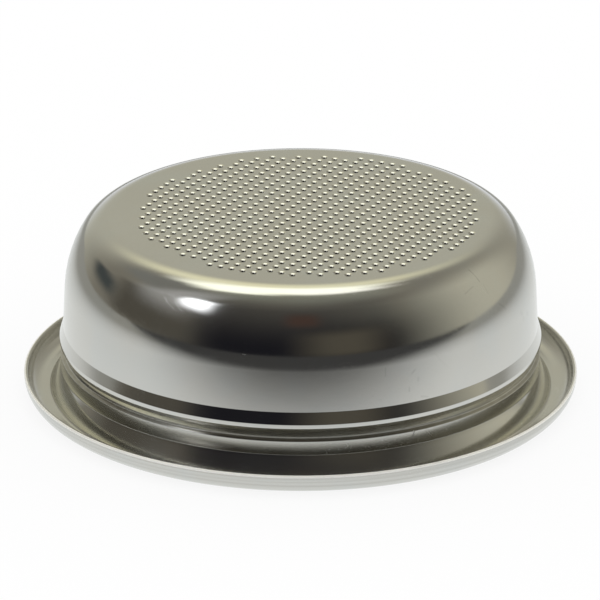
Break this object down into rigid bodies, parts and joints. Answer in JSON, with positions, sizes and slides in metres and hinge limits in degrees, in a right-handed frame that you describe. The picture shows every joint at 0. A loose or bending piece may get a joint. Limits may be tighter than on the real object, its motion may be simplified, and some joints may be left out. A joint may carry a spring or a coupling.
{
  "type": "espresso filter basket",
  "caption": "Round deep-drawn steel filter basket with a perforated base, a spring groove and a curled flange, standing on its rim.",
  "frame": {"origin": "on the cup's axis, in the plane that the flange stands on", "axes": "+Z along the cup's axis, from the mouth towards the perforated base; +X from the axis towards the side to which the field of holes is shifted; the picture looks along +Y"},
  "size_m": [0.07, 0.07, 0.0231],
  "materials": {
    "steel": "polished stainless sheet with a slight warm tone, fine rub marks on the wall"
  },
  "bodies": {
    "root": {"filter_basket": "steel"}
  },
  "joints": []
}
